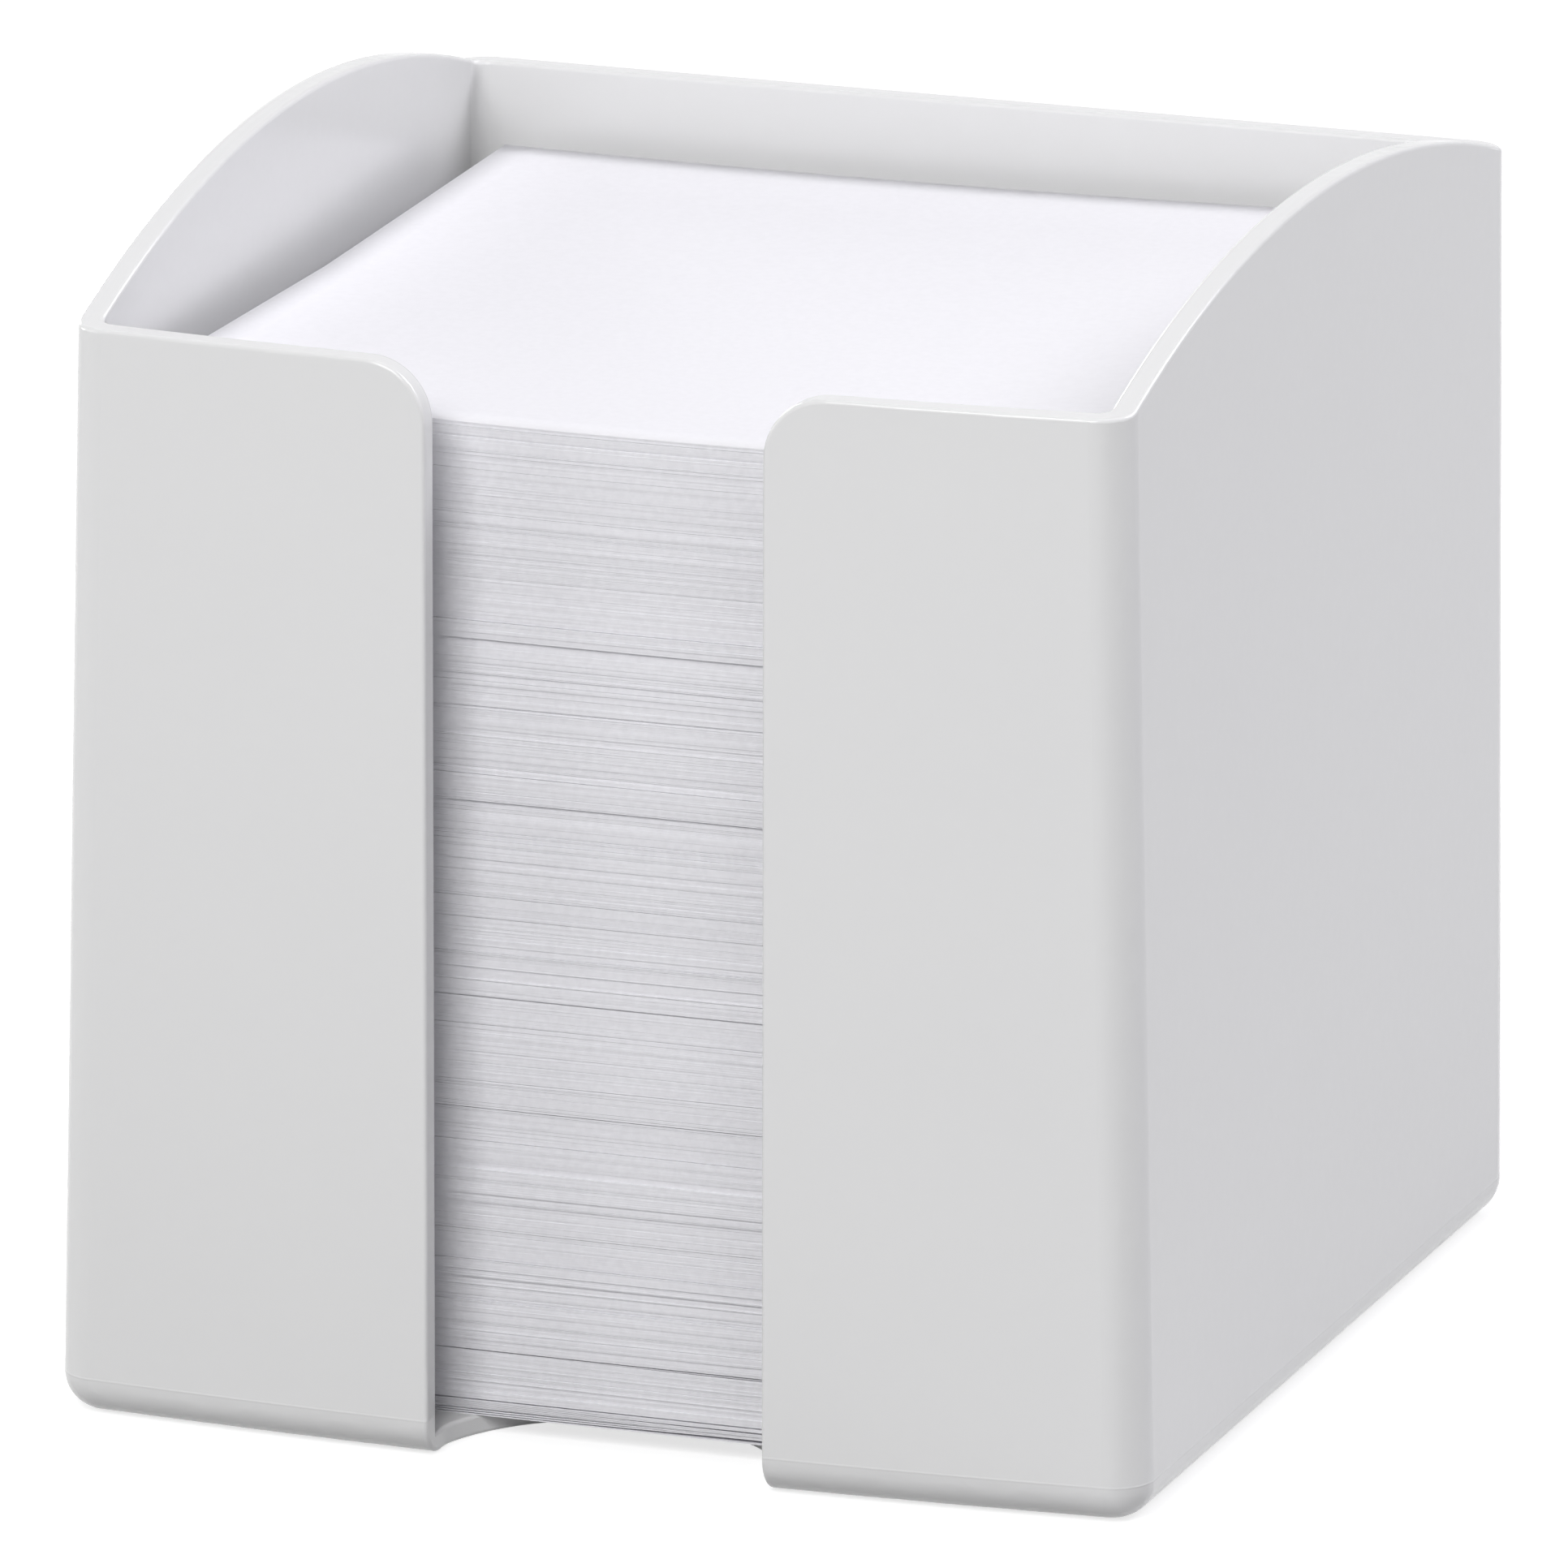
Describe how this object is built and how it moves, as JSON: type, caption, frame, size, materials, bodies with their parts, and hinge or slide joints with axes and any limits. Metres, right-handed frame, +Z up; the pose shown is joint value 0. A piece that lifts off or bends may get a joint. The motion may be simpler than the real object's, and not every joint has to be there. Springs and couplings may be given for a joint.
{
  "type": "memo pad holder",
  "caption": "Open-topped desk box with arched sides, a slotted front and a finger notch, holding a stack of loose square note sheets that lift out.",
  "frame": {"origin": "middle of the box at its base, on the surface it stands on", "axes": "+X to the right seen from the slotted front, +Y to the back, +Z up"},
  "size_m": [0.1, 0.1029, 0.1056],
  "materials": {
    "white_plastic": "glossy moulded white",
    "note_paper": "uncoated matt white"
  },
  "bodies": {
    "box": {"note_box": "white_plastic"},
    "paper_block": {"sheet_bundle_01": "note_paper", "sheet_bundle_02": "note_paper", "sheet_bundle_03": "note_paper", "sheet_bundle_04": "note_paper", "sheet_bundle_05": "note_paper", "sheet_bundle_06": "note_paper", "sheet_bundle_07": "note_paper", "sheet_bundle_08": "note_paper", "sheet_bundle_09": "note_paper", "sheet_bundle_10": "note_paper", "sheet_bundle_11": "note_paper", "sheet_bundle_12": "note_paper", "sheet_bundle_13": "note_paper", "sheet_bundle_14": "note_paper", "sheet_bundle_15": "note_paper", "sheet_bundle_16": "note_paper", "sheet_bundle_17": "note_paper", "sheet_bundle_18": "note_paper", "sheet_bundle_19": "note_paper", "sheet_bundle_20": "note_paper", "sheet_bundle_21": "note_paper", "sheet_bundle_22": "note_paper", "sheet_bundle_23": "note_paper"},
    "upper_pad": {"sheet_bundle_24": "note_paper", "sheet_bundle_25": "note_paper", "sheet_bundle_26": "note_paper", "sheet_bundle_27": "note_paper"},
    "top_sheet": {"top_sheet": "note_paper"}
  },
  "joints": [
    {"name": "block_lift", "type": "slide", "parent": "box", "child": "paper_block", "axis": [0, 0, 1], "range_m": [0, 0.11]},
    {"name": "pad_lift", "type": "slide", "parent": "paper_block", "child": "upper_pad", "axis": [0, 0, 1], "range_m": [0, 0.04]},
    {"name": "sheet_lift", "type": "slide", "parent": "upper_pad", "child": "top_sheet", "axis": [0, 0, 1], "range_m": [0, 0.03]}
  ]
}
